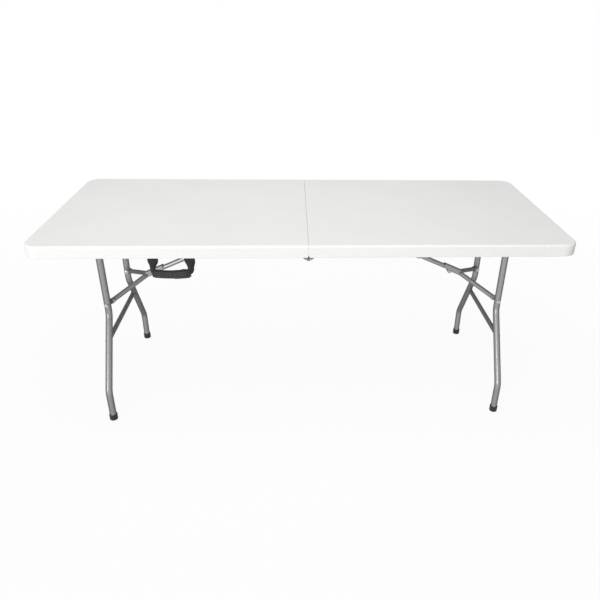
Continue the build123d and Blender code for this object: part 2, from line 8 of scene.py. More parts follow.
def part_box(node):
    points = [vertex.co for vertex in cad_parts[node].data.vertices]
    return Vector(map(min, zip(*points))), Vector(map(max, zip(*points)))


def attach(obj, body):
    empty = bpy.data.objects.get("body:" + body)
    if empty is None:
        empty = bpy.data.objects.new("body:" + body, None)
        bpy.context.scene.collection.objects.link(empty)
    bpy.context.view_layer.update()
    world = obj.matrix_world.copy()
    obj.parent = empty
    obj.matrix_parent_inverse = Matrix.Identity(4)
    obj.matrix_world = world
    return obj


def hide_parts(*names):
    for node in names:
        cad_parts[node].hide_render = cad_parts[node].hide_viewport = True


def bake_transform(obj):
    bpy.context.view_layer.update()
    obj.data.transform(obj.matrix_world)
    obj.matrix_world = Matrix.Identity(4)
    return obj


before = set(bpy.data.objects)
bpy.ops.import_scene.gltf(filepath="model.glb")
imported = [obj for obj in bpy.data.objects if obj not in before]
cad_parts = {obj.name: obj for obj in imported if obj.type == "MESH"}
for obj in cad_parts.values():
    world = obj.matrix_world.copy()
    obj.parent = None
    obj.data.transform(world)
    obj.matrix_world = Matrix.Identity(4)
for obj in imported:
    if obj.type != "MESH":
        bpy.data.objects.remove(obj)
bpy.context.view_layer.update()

# The moulded top: two halves blown from white polyethylene, each a skin with a turned-down apron.
# The mould leaves a fine pebble on the table surface and a smoother, thinner grain on the apron.
deck_white = (0.845, 0.84, 0.83, 1)
deck_shade = (0.825, 0.82, 0.808, 1)
deck_scuff = (0.76, 0.755, 0.74, 1)
deck_pebble = 720
deck_relief = 0.00016
apron_relief_share = 0.3
deck_roughness = (0.54, 0.62)
deck_facing = (0.5, 0.98)
pebble_range = (0.1, 0.9)
mottle_range = (0.3, 0.7)
scuff_runs = ((0.35, (5, 190, 40)), (-0.5, (170, 6, 40)))
scuff_range = (0.66, 0.76)
scuff_share = 0.25
scuff_roughness = 0.12
halves = ("left", "right")


def add_node(tree, kind, inputs=None, **settings):
    """A shader node with its settings made, and its sockets given a value or linked."""
    node = tree.nodes.new("ShaderNode" + kind)
    for name, value in settings.items():
        setattr(node, name, value)
    for name, value in (inputs or {}).items():
        socket = node.inputs[name]
        if isinstance(value, bpy.types.NodeSocket):
            tree.links.new(value, socket)
        else:
            socket.default_value = value
    return node


def mixed(tree, share, first, second):
    """A colour between two colours."""
    factor_socket, first_socket, second_socket, colour_output = 0, 6, 7, 2
    sockets = {factor_socket: share, first_socket: first, second_socket: second}
    return add_node(tree, "Mix", sockets, data_type="RGBA").outputs[colour_output]


def ranged(tree, value, low, high, new_low, new_high):
    """A value moved from one range to another, and held inside it."""
    sockets = {
        "Value": value,
        "From Min": low,
        "From Max": high,
        "To Min": new_low,
        "To Max": new_high,
    }
    return add_node(tree, "MapRange", sockets).outputs["Result"]


def reckoned(tree, operation, first, second=0):
    """One value reckoned from another, or from two."""
    return add_node(tree, "Math", {0: first, 1: second}, operation=operation).outputs[0]


def surface_effect(name, inputs, outputs):
    """An empty node group for an effect of the surface, with its named values."""
    group = bpy.data.node_groups.new(name, "ShaderNodeTree")
    for title, value in inputs.items():
        socket = group.interface.new_socket(title, in_out="INPUT", socket_type="NodeSocketFloat")
        socket.default_value = value
    for title in outputs:
        group.interface.new_socket(title, in_out="OUTPUT", socket_type="NodeSocketFloat")
    return group, group.nodes.new("NodeGroupInput"), group.nodes.new("NodeGroupOutput")


def pebbled_moulding():
    """Small rounded pebbles, a slow mottle of the plastic, and thin scuffs in two directions."""
    group, given, result = surface_effect(
        "pebbled_moulding", {"Pebbles": deck_pebble}, ["Height", "Mottle", "Scuff"]
    )
    place = add_node(group, "TexCoord").outputs["Object"]
    cells = {"Vector": place, "Scale": given.outputs["Pebbles"], "Smoothness": 0.7}
    pebbles = add_node(group, "TexVoronoi", cells, feature="SMOOTH_F1").outputs["Distance"]
    slow = add_node(group, "TexNoise", {"Vector": place, "Scale": 5.0, "Detail": 6.0}).outputs["Fac"]
    scuffs = []
    for turn, stretch in scuff_runs:
        run = add_node(group, "Mapping", {"Vector": place, "Scale": stretch, "Rotation": (0, 0, turn)})
        line = {"Vector": run.outputs["Vector"], "Scale": 1.0, "Detail": 3.0, "Roughness": 0.4}
        lines = add_node(group, "TexNoise", line).outputs["Fac"]
        scuffs.append(ranged(group, lines, *scuff_range, 0, 1))
    group.links.new(ranged(group, pebbles, *pebble_range, 1, 0), result.inputs["Height"])
    group.links.new(ranged(group, slow, *mottle_range, 0, 1), result.inputs["Mottle"])
    group.links.new(reckoned(group, "MAXIMUM", scuffs[0], scuffs[1]), result.inputs["Scuff"])
    return group


def new_material(name):
    """A material with an empty Principled shader in it."""
    material = bpy.data.materials.new(name)
    material.use_nodes = True
    tree = material.node_tree
    shader = tree.nodes["Principled BSDF"]
    return material, tree, shader


def embossed(tree, shader, height, relief):
    """Relief of a given depth on the shader's surface."""
    sockets = {"Height": height, "Distance": relief}
    tree.links.new(add_node(tree, "Bump", sockets).outputs["Normal"], shader.inputs["Normal"])


def finish_nodes(material, names):
    """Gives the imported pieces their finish."""
    for name in names:
        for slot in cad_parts[name].material_slots:
            slot.material = material


def both_halves(*names):
    """The names of like pieces on the left and the right half."""
    return [f"{half}_{name}" for half in halves for name in names]


moulding = pebbled_moulding()
deck_plastic, tree, shader = new_material("white_moulded_deck")
grain = add_node(tree, "Group", {"Pebbles": deck_pebble}, node_tree=moulding).outputs
facing = add_node(tree, "TexCoord").outputs["Normal"]
upward = add_node(tree, "SeparateXYZ", {"Vector": facing}).outputs["Z"]
on_top = ranged(tree, upward, *deck_facing, apron_relief_share, 1)
tone = mixed(tree, grain["Mottle"], deck_white, deck_shade)
tone = mixed(tree, ranged(tree, grain["Scuff"], 0, 1, 0, scuff_share), tone, deck_scuff)
tree.links.new(tone, shader.inputs["Base Color"])
dull = ranged(tree, grain["Mottle"], 0, 1, *deck_roughness)
dull = reckoned(tree, "ADD", dull, ranged(tree, grain["Scuff"], 0, 1, 0, scuff_roughness))
tree.links.new(dull, shader.inputs["Roughness"])
embossed(tree, shader, reckoned(tree, "MULTIPLY", grain["Height"], on_top), deck_relief)
finish_nodes(deck_plastic, both_halves("deck"))

# The liner is the lower skin of each moulded half, the same plastic with dents that tie it to the deck.
# It is never seen in use, so the mould is left smoother, and the plastic looks a little greyer.
liner_white = (0.74, 0.74, 0.725, 1)
liner_shade = (0.67, 0.67, 0.65, 1)
liner_pebble = 260
liner_relief = 0.00012
liner_roughness = (0.36, 0.5)
liner_plastic, tree, shader = new_material("white_moulded_liner")
grain = add_node(tree, "Group", {"Pebbles": liner_pebble}, node_tree=moulding).outputs
tree.links.new(mixed(tree, grain["Mottle"], liner_white, liner_shade), shader.inputs["Base Color"])
tree.links.new(ranged(tree, grain["Mottle"], 0, 1, *liner_roughness), shader.inputs["Roughness"])
embossed(tree, shader, grain["Height"], liner_relief)
finish_nodes(liner_plastic, both_halves("liner"))

# Two steel rails under each half, rectangular tube with a silver-grey powder coat, screwed to the liner.
# The coat has fine metal flake and a slight orange peel, and is rubbed bright in a few places. Its colour
# is also darkened towards the edges of each tube as seen, a painted shade.
coat_grey = (0.305, 0.306, 0.309, 1)
coat_flake = (0.5, 0.502, 0.505, 1)
coat_painted_edge_shade = (0.065, 0.065, 0.067, 1)
coat_rub = (0.45, 0.45, 0.446, 1)
coat_edge = (0.3, 0.3, 0.3, 1)
coat_flakes = 1700
coat_peel = 420
coat_peel_relief = 0.00003
coat_metal = 0.3
coat_shine = 0.4
coat_roughness = (0.31, 0.27)
flake_range = (0.55, 1)
flake_share = 0.7
rub_range = (0.63, 0.72)
rub_share = 0.5
edge_shade_range = (0.12, 0.6)
edge_shade_share = 0.9


def powder_coat():
    """Metal flake, orange peel and rubbed patches of a sprayed and baked coat."""
    sizes = {"Flakes": coat_flakes, "Peel": coat_peel}
    group, given, result = surface_effect("powder_coat", sizes, ["Flake", "Height", "Rub"])
    place = add_node(group, "TexCoord").outputs["Object"]
    flakes = add_node(group, "TexVoronoi", {"Vector": place, "Scale": given.outputs["Flakes"]})
    shine = add_node(group, "SeparateColor", {"Color": flakes.outputs["Color"]}).outputs["Red"]
    skin = {"Vector": place, "Scale": given.outputs["Peel"], "Detail": 2.0}
    peel = add_node(group, "TexNoise", skin).outputs["Fac"]
    worn = {"Vector": place, "Scale": 14.0, "Detail": 9.0, "Roughness": 0.62}
    patches = add_node(group, "TexNoise", worn).outputs["Fac"]
    group.links.new(ranged(group, shine, *flake_range, 0, 1), result.inputs["Flake"])
    group.links.new(peel, result.inputs["Height"])
    group.links.new(ranged(group, patches, *rub_range, 0, 1), result.inputs["Rub"])
    return group


sprayed_coat = powder_coat()
coated_steel, tree, shader = new_material("silver_coated_steel")
coat = add_node(tree, "Group", {"Flakes": coat_flakes, "Peel": coat_peel}, node_tree=sprayed_coat).outputs
tone = mixed(tree, ranged(tree, coat["Flake"], 0, 1, 0, flake_share), coat_grey, coat_flake)
tone = mixed(tree, ranged(tree, coat["Rub"], 0, 1, 0, rub_share), tone, coat_rub)
# The colour darkens towards the edges of each tube as seen from the camera, a painted shade standing in
# for the tubes' shaded sides.
slant = add_node(tree, "LayerWeight", {"Blend": 0.5}).outputs["Facing"]
tone = mixed(tree, ranged(tree, slant, *edge_shade_range, 0, edge_shade_share), tone, coat_painted_edge_shade)
tree.links.new(tone, shader.inputs["Base Color"])
shader.inputs["Metallic"].default_value = coat_metal
shader.inputs["Specular IOR Level"].default_value = coat_shine
shader.inputs["Specular Tint"].default_value = coat_edge
tree.links.new(ranged(tree, coat["Rub"], 0, 1, *coat_roughness), shader.inputs["Roughness"])
embossed(tree, shader, coat["Height"], coat_peel_relief)
finish_nodes(coated_steel, both_halves("front_rail", "back_rail"))

# Pan-head screws hold the rails and the strut's brackets to the bosses of the liner.
# They are rolled from steel wire and zinc plated, with a cross recess pressed into the head.
rail_screw_radius = 0.0045
rail_screw_pairs = 4
bracket_screw_radius = 0.0035
bracket_screw_pairs = 2
screw_head_height = 0.0024
screw_crown_share = 0.78
screw_flare = 1.3
screw_shank_share = 0.44
screw_shank_sides = 12
screw_rounding = 2
recess_share = 0.17
recess_depth_share = 0.6
zinc_pale = (0.50, 0.50, 0.487, 1)
zinc_dark = (0.42, 0.423, 0.425, 1)
zinc_relief = 0.00004
zinc_crystals = 520
zinc_brushing = (60, 900, 900)
zinc_rub_range = (0.3, 0.7)
zinc_roughness = (0.26, 0.44)


def zinc_plating():
    """The crystals of a zinc plating and the fine rub marks over them."""
    group, given, result = surface_effect("zinc_plating", {"Crystals": zinc_crystals}, ["Crystal", "Rub"])
    place = add_node(group, "TexCoord").outputs["Object"]
    cells = add_node(group, "TexVoronoi", {"Vector": place, "Scale": given.outputs["Crystals"]})
    crystal = add_node(group, "SeparateColor", {"Color": cells.outputs["Color"]}).outputs["Green"]
    run = add_node(group, "Mapping", {"Vector": place, "Scale": zinc_brushing})
    marks = {"Vector": run.outputs["Vector"], "Scale": 1.0, "Detail": 4.0}
    rub = add_node(group, "TexNoise", marks).outputs["Fac"]
    group.links.new(crystal, result.inputs["Crystal"])
    group.links.new(rub, result.inputs["Rub"])
    return group


plating = zinc_plating()
plated_steel, tree, shader = new_material("zinc_plated_steel")
zinc = add_node(tree, "Group", {"Crystals": zinc_crystals}, node_tree=plating).outputs
tree.links.new(mixed(tree, zinc["Crystal"], zinc_pale, zinc_dark), shader.inputs["Base Color"])
shader.inputs["Metallic"].default_value = 1.0
tree.links.new(ranged(tree, zinc["Rub"], *zinc_rub_range, *zinc_roughness), shader.inputs["Roughness"])
embossed(tree, shader, zinc["Rub"], zinc_relief)


def new_piece(name, mesh, material, body):
    """An object from a finished bmesh, with its finish, moving with a body of the table."""
    data = bpy.data.meshes.new(name)
    mesh.to_mesh(data)
    mesh.free()
    piece = bpy.data.objects.new(name, data)
    bpy.context.scene.collection.objects.link(piece)
    data.materials.append(material)
    data.shade_smooth()
    if body:
        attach(piece, body)
    return piece


def smoothed(piece, levels):
    """Rounds a piece by subdivision, the same in every view."""
    rounding = piece.modifiers.new("rounding", "SUBSURF")
    rounding.levels = levels
    rounding.render_levels = levels
    return piece


def pan_head(mesh, x, y, low, seat, top, radius):
    """One screw: a head that hangs below its seat, a cross recess in it, and a shank above."""
    head = seat - low
    half_recess = recess_share * radius
    crown = bmesh.ops.create_grid(mesh, x_segments=3, y_segments=3, size=radius)["verts"]
    for vertex in crown:
        if abs(vertex.co.x) < radius / 2:
            vertex.co.x = half_recess if vertex.co.x > 0 else -half_recess
        if abs(vertex.co.y) < radius / 2:
            vertex.co.y = half_recess if vertex.co.y > 0 else -half_recess
    faces = {face for vertex in crown for face in vertex.link_faces}
    bmesh.ops.scale(mesh, vec=(screw_crown_share, screw_crown_share, 1), verts=crown)
    rim = {edge for face in faces for edge in face.edges if edge.is_boundary}
    skirt = bmesh.ops.extrude_edge_only(mesh, edges=list(rim))["geom"]
    skirt = [item for item in skirt if isinstance(item, bmesh.types.BMVert)]
    bmesh.ops.translate(mesh, vec=(0, 0, -head), verts=skirt)
    bmesh.ops.scale(mesh, vec=(screw_flare, screw_flare, 1), verts=skirt)
    for vertex in skirt:
        from_axis = Vector((vertex.co.x, vertex.co.y, 0)).length
        if from_axis > radius:
            vertex.co.x *= radius / from_axis
            vertex.co.y *= radius / from_axis
    narrow = []
    for face in faces:
        middle = face.calc_center_median()
        if min(abs(middle.x), abs(middle.y)) < half_recess:
            narrow.append(face)
    sunk = bmesh.ops.extrude_face_region(mesh, geom=narrow)["geom"]
    sunk = [item for item in sunk if isinstance(item, bmesh.types.BMVert)]
    bmesh.ops.delete(mesh, geom=narrow, context="FACES")
    bmesh.ops.translate(mesh, vec=(0, 0, -recess_depth_share * head), verts=sunk)
    shank = bmesh.ops.create_cone(
        mesh,
        segments=screw_shank_sides,
        radius1=screw_shank_share * radius,
        radius2=screw_shank_share * radius,
        depth=top - seat,
    )["verts"]
    bmesh.ops.translate(mesh, vec=(0, 0, -head - (top - seat) / 2), verts=shank)
    whole = [vertex for vertex in crown + skirt + sunk + shank if vertex.is_valid]
    bmesh.ops.rotate(mesh, cent=(0, 0, 0), matrix=Matrix.Rotation(pi, 3, "X"), verts=whole)
    bmesh.ops.translate(mesh, vec=(x, y, low), verts=whole)


def screw_set(name, node, body, radius, pairs):
    """The screws of one node, in pairs along the table."""
    low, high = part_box(node)
    seat = low.z + screw_head_height
    step = (high.x - low.x - 2 * radius) / (pairs - 1)
    mesh = bmesh.new()
    for place in range(pairs):
        x = low.x + radius + place * step
        for y in (low.y + radius, high.y - radius):
            pan_head(mesh, x, y, low.z, seat, high.z, radius)
    screws = smoothed(new_piece(name, mesh, plated_steel, body), screw_rounding)
    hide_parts(node)


for half in halves:
    screw_set(
        f"{half}_rail_screw_set",
        f"{half}_rail_screws",
        f"{half}_half",
        rail_screw_radius,
        rail_screw_pairs,
    )
    screw_set(
        f"{half}_bracket_screw_set",
        f"{half}_bracket_screws",
        f"{half}_half",
        bracket_screw_radius,
        bracket_screw_pairs,
    )

# Black plastic plugs close the outer ends of the rails.
# They are injection moulded, with a fine matt grain and pale scuffs where they have been knocked.
plastic_black = (0.018, 0.018, 0.019, 1)
plastic_worn = (0.075, 0.075, 0.075, 1)
plastic_relief = 0.00008
plastic_shine = 0.3
plastic_grain = 1400
plastic_roughness = (0.42, 0.6)
knock_range = (0.55, 0.72)
knock_share = 0.4


def scuffed_plastic():
    """The fine grain of a moulded plastic and the scuffs on it."""
    group, given, result = surface_effect("scuffed_plastic", {"Grain": plastic_grain}, ["Height", "Scuff"])
    place = add_node(group, "TexCoord").outputs["Object"]
    skin = {"Vector": place, "Scale": given.outputs["Grain"], "Detail": 2.0}
    grain = add_node(group, "TexNoise", skin).outputs["Fac"]
    worn = {"Vector": place, "Scale": 60.0, "Detail": 8.0, "Roughness": 0.7}
    scuff = add_node(group, "TexNoise", worn).outputs["Fac"]
    group.links.new(grain, result.inputs["Height"])
    group.links.new(ranged(group, scuff, *knock_range, 0, 1), result.inputs["Scuff"])
    return group


plastic_skin = scuffed_plastic()
black_plastic, tree, shader = new_material("black_plastic")
skin = add_node(tree, "Group", {"Grain": plastic_grain}, node_tree=plastic_skin).outputs
worn = ranged(tree, skin["Scuff"], 0, 1, 0, knock_share)
tree.links.new(mixed(tree, worn, plastic_black, plastic_worn), shader.inputs["Base Color"])
tree.links.new(ranged(tree, skin["Scuff"], 0, 1, *plastic_roughness), shader.inputs["Roughness"])
shader.inputs["Specular IOR Level"].default_value = plastic_shine
embossed(tree, shader, skin["Height"], plastic_relief)
finish_nodes(black_plastic, both_halves("rail_caps"))

# Two-pin link hinges join the halves at the front and the back of the seam.
# Links and cheeks are pressed from steel plate and zinc plated, and the cheeks are riveted to the rails.
# The plating has gone dull. Above a V-shaped line near the bottom of the links, the links, cheeks and pins
# are black: partly grease between the pins, partly a painted shade for the dark gap at the bottom of the
# seam.
finish_nodes(plated_steel, both_halves("hinge_rivets"))
grease_and_painted_shade_black = (0.012, 0.011, 0.010, 1)
grease_and_shade_start = 0.007
grease_and_shade_edge = 0.0015
grease_and_shade_slant = 1.2
grease_shine = 0.1
link_dull = (0.33, 0.33, 0.33, 1)
link_dark = (0.25, 0.25, 0.253, 1)
link_low, link_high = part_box("front_hinge_link")
link_middle = (link_low + link_high) / 2
grease_and_shade_line = link_low.z + grease_and_shade_start
greased_and_shaded_link, tree, shader = new_material("greased_and_shaded_link")
zinc = add_node(tree, "Group", {"Crystals": zinc_crystals}, node_tree=plating).outputs
place = add_node(tree, "TexCoord").outputs["Object"]
spot = add_node(tree, "SeparateXYZ", {"Vector": place}).outputs
beside = reckoned(tree, "ABSOLUTE", reckoned(tree, "SUBTRACT", spot["X"], link_middle.x))
depth = reckoned(tree, "SUBTRACT", spot["Z"], reckoned(tree, "MULTIPLY", beside, grease_and_shade_slant))
# Black above this line: grease, and painted shade in the gap of the seam.
grease_and_shade_mask = ranged(tree, depth, grease_and_shade_line, grease_and_shade_line + grease_and_shade_edge, 0, 1)
tone = mixed(tree, zinc["Crystal"], link_dull, link_dark)
tree.links.new(mixed(tree, grease_and_shade_mask, tone, grease_and_painted_shade_black), shader.inputs["Base Color"])
tree.links.new(ranged(tree, grease_and_shade_mask, 0, 1, 1, 0), shader.inputs["Metallic"])
shader.inputs["Specular IOR Level"].default_value = grease_shine
tree.links.new(ranged(tree, zinc["Rub"], *zinc_rub_range, *zinc_roughness), shader.inputs["Roughness"])
embossed(tree, shader, zinc["Rub"], zinc_relief)
finish_nodes(greased_and_shaded_link, ["front_hinge_link", "back_hinge_link", "hinge_pins"])
finish_nodes(greased_and_shaded_link, both_halves("hinge_cheeks"))

# Each leg frame is bent steel tube: two splayed legs, the cross tube they turn on and a lower crossbar.
# The tubes are saddled and coped to each other, welded all round, and sprayed like the rails.
bead_radius = 0.0017
bead_roundness = 3
bead_points = 72
bead_ripple = 0.22
bead_ripples = 24
leg_bend_heights = (0.377, 0.125)
finish_nodes(coated_steel, both_halves("front_leg", "back_leg", "pivot_tube", "crossbar"))


def bead_line(curve, points):
    """A closed bead along points, in small ripples as the welder's hand moved."""
    spline = curve.splines.new("POLY")
    spline.points.add(len(points) - 1)
    for index, point in enumerate(points):
        spline.points[index].co = (*point, 1)
        wave = cos(2 * pi * bead_ripples * index / len(points))
        spline.points[index].radius = 1 + bead_ripple * wave
    spline.use_cyclic_u = True


def saddle_weld(leg_x, leg_y, tube_z, radius):
    """Where an upright leg sits on the cross tube of the same radius."""
    turns = [2 * pi * index / bead_points for index in range(bead_points)]
    return [
        (leg_x + radius * cos(turn), leg_y + radius * sin(turn), tube_z - radius * abs(sin(turn)))
        for turn in turns
    ]


def coped_weld(bar_x, bar_z, bar_radius, leg_x, leg_radius, side, upper_y, lower_y):
    """Where the crossbar's end meets the splayed part of a leg."""
    high, low = leg_bend_heights
    splay = (lower_y - upper_y) / (high - low)
    slant = 1 / sqrt(1 + splay * splay)
    points = []
    for index in range(bead_points):
        turn = 2 * pi * index / bead_points
        x = bar_x + bar_radius * cos(turn)
        z = bar_z + bar_radius * sin(turn)
        away = sqrt(max(leg_radius**2 - (x - leg_x) ** 2, 0))
        y = upper_y + splay * (high - z) - away / slant
        points.append((x, side * y, z))
    return points


for half in halves:
    tube_low, tube_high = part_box(f"{half}_pivot_tube")
    bar_low, bar_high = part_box(f"{half}_crossbar")
    leg_low, leg_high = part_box(f"{half}_back_leg")
    tube_middle = (tube_low + tube_high) / 2
    bar_middle = (bar_low + bar_high) / 2
    leg_radius = (leg_high.x - leg_low.x) / 2
    bar_radius = (bar_high.z - bar_low.z) / 2
    upper_y = leg_low.y + leg_radius
    lower_y = leg_high.y - leg_radius
    beads = bpy.data.curves.new(f"{half}_weld_beads", "CURVE")
    beads.dimensions = "3D"
    beads.bevel_depth = bead_radius
    beads.bevel_resolution = bead_roundness
    for side in (-1, 1):
        bead_line(beads, saddle_weld(tube_middle.x, side * upper_y, tube_middle.z, leg_radius))
        bead_line(
            beads,
            coped_weld(
                bar_middle.x,
                bar_middle.z,
                bar_radius,
                tube_middle.x,
                leg_radius,
                side,
                upper_y,
                lower_y,
            ),
        )
    welds = bpy.data.objects.new(f"{half}_weld_beads", beads)
    bpy.context.scene.collection.objects.link(welds)
    beads.materials.append(coated_steel)
    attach(welds, f"{half}_legs")

# Black plastic bushes plug the ends of the cross tube and turn in the rails.
# They are turned smooth by use, so they keep the plain black plastic.
finish_nodes(black_plastic, both_halves("pivot_bushes"))

# Black plastic caps close the feet. They are injection moulded and pushed over the leg tubes.
# The floor rubs them grey and dusty round the bottom edge.
foot_dust = (0.16, 0.155, 0.145, 1)
foot_dust_height = 0.009
foot_dust_range = (0.25, 0.9)
foot_grain = 1100
foot_roughness = (0.45, 0.8)
foot_knock_share = 0.35
foot_plastic, tree, shader = new_material("black_foot_plastic")
skin = add_node(tree, "Group", {"Grain": foot_grain}, node_tree=plastic_skin).outputs
place = add_node(tree, "TexCoord").outputs["Object"]
height = add_node(tree, "SeparateXYZ", {"Vector": place}).outputs["Z"]
near_floor = ranged(tree, height, 0, foot_dust_height, 1, 0)
dusty = reckoned(tree, "MULTIPLY", near_floor, ranged(tree, skin["Scuff"], 0, 1, *foot_dust_range))
worn = ranged(tree, skin["Scuff"], 0, 1, 0, foot_knock_share)
worn = mixed(tree, worn, plastic_black, plastic_worn)
tree.links.new(mixed(tree, dusty, worn, foot_dust), shader.inputs["Base Color"])
tree.links.new(ranged(tree, dusty, 0, 1, *foot_roughness), shader.inputs["Roughness"])
shader.inputs["Specular IOR Level"].default_value = plastic_shine
embossed(tree, shader, skin["Height"], plastic_relief)
finish_nodes(foot_plastic, both_halves("front_foot", "back_foot"))

# The folding braces: a strut from each half and a forked wishbone from the legs, of round steel tube.
# They meet in a folded channel with a pin, and a ring slides over the knee to lock it.
finish_nodes(coated_steel, both_halves("strut", "wishbone", "knee_channel", "lock_ring"))
finish_nodes(plated_steel, both_halves("strut_bracket", "strut_pin", "knee_pin"))
finish_nodes(plated_steel, both_halves("leg_rivets", "arm_rivets"))

# The carry handle: a black webbing strap riveted to the front rail at both ends.
# Its middle is rolled into a grip, wrapped once more with webbing and sewn through.
finish_nodes(plated_steel, ["handle_rivets"])
webbing_black = (0.016, 0.016, 0.017, 1)
webbing_pale = (0.085, 0.085, 0.086, 1)
webbing_shine = 0.2
webbing_thick = 0.0022
yarn_length = 0.0030
yarn_width = 0.0015
yarn_gap = 0.0004
weave_relief = 0.0006
fuzz_scale = 420
fuzz_range = (0.3, 0.7)
fuzz_lit_range = (0.35, 0.7)
webbing_roughness = (0.62, 0.85)
webbing_sheen = 0.06
webbing_sheen_roughness = 0.4
webbing, tree, shader = new_material("black_webbing")
flat = add_node(tree, "UVMap").outputs["UV"]
yarns = add_node(
    tree,
    "TexBrick",
    {
        "Vector": flat,
        "Scale": 1.0,
        "Mortar Size": yarn_gap,
        "Mortar Smooth": 1.0,
        "Brick Width": yarn_length,
        "Row Height": yarn_width,
    },
    offset=0.5,
)
fuzz = add_node(tree, "TexNoise", {"Vector": flat, "Scale": fuzz_scale, "Detail": 6.0}).outputs["Fac"]
yarn_height = ranged(tree, yarns.outputs["Fac"], 0, 1, 1, 0)
# Yarn tops are painted paler where the fuzz is high and the gaps between yarns stay black: partly pale
# fibres, partly a painted highlight on the yarns and painted shade in the gaps.
lit = reckoned(tree, "MULTIPLY", yarn_height, ranged(tree, fuzz, *fuzz_lit_range, 0, 1))
tree.links.new(mixed(tree, lit, webbing_black, webbing_pale), shader.inputs["Base Color"])
tree.links.new(ranged(tree, fuzz, *fuzz_range, *webbing_roughness), shader.inputs["Roughness"])
shader.inputs["Specular IOR Level"].default_value = webbing_shine
shader.inputs["Sheen Weight"].default_value = webbing_sheen
shader.inputs["Sheen Roughness"].default_value = webbing_sheen_roughness
embossed(tree, shader, reckoned(tree, "ADD", yarn_height, fuzz), weave_relief)

tabs_low, tabs_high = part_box("handle_tabs")
loop_low, loop_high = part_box("handle_loop")
strap_width = 0.034
strap_y = (tabs_low.y + tabs_high.y) / 2
strap_top = tabs_high.z
grip_height = 0.0268
grip_thick = loop_high.y - loop_low.y
grip_bow = 0.0045
grip_above_loop = 0.0045
grip_left_inset = 0.0085
grip_right_inset = 0.0175
grip_middle_z = loop_low.z + grip_above_loop + grip_bow + grip_height / 2
grip_low_x = loop_low.x + grip_left_inset
grip_high_x = loop_high.x - grip_right_inset
strap_tail = 0.020
strap_flat_below_tab = 0.004
strap_forward_share = 0.3
strap_least_roll = 0.01
strap_steps = 64
strap_ribs = 14


def smooth_step(value):
    """A ramp from 0 to 1 that starts and ends gently."""
    held = min(max(value, 0), 1)
    return held * held * (3 - 2 * held)


def woven_sheet(name, along_steps, across_steps, length, width, place, thick):
    """A strip of webbing laid out by a rule, with its weave following the strip."""
    mesh = bmesh.new()
    bmesh.ops.create_grid(mesh, x_segments=across_steps, y_segments=along_steps, size=0.5)
    weave = mesh.loops.layers.uv.new("weave")
    for face in mesh.faces:
        for loop in face.loops:
            loop[weave].uv = (loop.vert.co.y * length, loop.vert.co.x * width)
    for vertex in mesh.verts:
        vertex.co = place((vertex.co.y + 0.5) * length, vertex.co.x)
    bmesh.ops.recalc_face_normals(mesh, faces=mesh.faces)
    piece = new_piece(name, mesh, webbing, None)
    wall = piece.modifiers.new("thickness", "SOLIDIFY")
    wall.thickness = thick
    wall.offset = 0
    return piece


def strap_rule(x, inwards, last_roll, bend_radius, lean, rise):
    """How one strap hangs: flat on the rail, rolled up as it falls, and turned into the grip."""
    drop = strap_top - grip_middle_z - rise - bend_radius
    turn_length = bend_radius * pi / 2
    roll_start = strap_top - tabs_low.z + strap_flat_below_tab

    def place(along, across):
        falling = smooth_step((along - roll_start) / (drop - roll_start))
        roll = last_roll * falling
        turn = min(max(along - drop, 0) / turn_length, 1) * pi / 2
        past = max(along - drop - turn_length, 0)
        middle_x = x + lean * falling + inwards * (bend_radius * (1 - cos(turn)) + past)
        middle_z = strap_top - min(along, drop) - bend_radius * sin(turn)
        sideways = across * strap_width
        back = 0
        if roll > strap_least_roll:
            sideways = strap_width / roll * sin(across * roll)
            back = strap_width / roll * (1 - cos(across * roll))
        front = strap_y - strap_forward_share * falling * grip_thick
        side_x = middle_x + sideways * cos(turn)
        side_z = middle_z + inwards * sideways * sin(turn)
        return Vector((side_x, front + back, side_z))

    return place, drop + turn_length + strap_tail


left_strap_outset = 0.002
right_strap_outset = 0.0005
strap_rules = {
    "left": strap_rule(
        x=tabs_low.x + strap_width / 2 - left_strap_outset,
        inwards=1,
        last_roll=radians(265),
        bend_radius=0.008,
        lean=-0.005,
        rise=0.001,
    ),
    "right": strap_rule(
        x=tabs_high.x - strap_width / 2 + right_strap_outset,
        inwards=-1,
        last_roll=radians(215),
        bend_radius=0.011,
        lean=0.0005,
        rise=0.001,
    ),
}
for end, (place, length) in strap_rules.items():
    strap = woven_sheet(
        f"handle_strap_{end}", strap_steps, strap_ribs, length, strap_width, place, webbing_thick
    )
    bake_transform(strap)
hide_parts("handle_tabs")

sleeve_thick = 0.0018
sleeve_turn = radians(400)
sleeve_first_angle = radians(150)
sleeve_squareness = 0.66
sleeve_end_round = 0.008
sleeve_end_share = 0.68
sleeve_steps = 44
sleeve_ribs = 40
patch_turn = radians(200)
patch_inset = 0.0695
patch_start_x = grip_low_x + patch_inset
patch_tail = 0.002
patch_lift_share = 1.1
patch_lift = patch_lift_share * sleeve_thick
patch_ribs = 24


def wrap_rule(low_x, first_angle, turn, lift, growth):
    """How webbing goes round the grip: a rounded band that bows down a little in the middle."""
    half_height = grip_height / 2 - sleeve_thick / 2
    half_thick = grip_thick / 2 - sleeve_thick / 2
    middle_x = (grip_low_x + grip_high_x) / 2
    half_length = (grip_high_x - grip_low_x) / 2

    def place(along, across):
        x = low_x + along
        bow = grip_bow * (1 - ((x - middle_x) / half_length) ** 2)
        near_end = max(abs(x - middle_x) - half_length + sleeve_end_round, 0) / sleeve_end_round
        narrowed = 1 - (1 - sleeve_end_share) * min(near_end, 1) ** 2
        angle = first_angle + (across + 0.5) * turn
        out = lift + growth * (across + 0.5)
        upward = abs(sin(angle)) ** sleeve_squareness * (1 if sin(angle) > 0 else -1)
        forward = abs(cos(angle)) ** sleeve_squareness * (1 if cos(angle) > 0 else -1)
        y = strap_y - (half_thick + out) * forward
        z = grip_middle_z - bow + (half_height * narrowed + out) * upward
        return Vector((x, y, z))

    return place


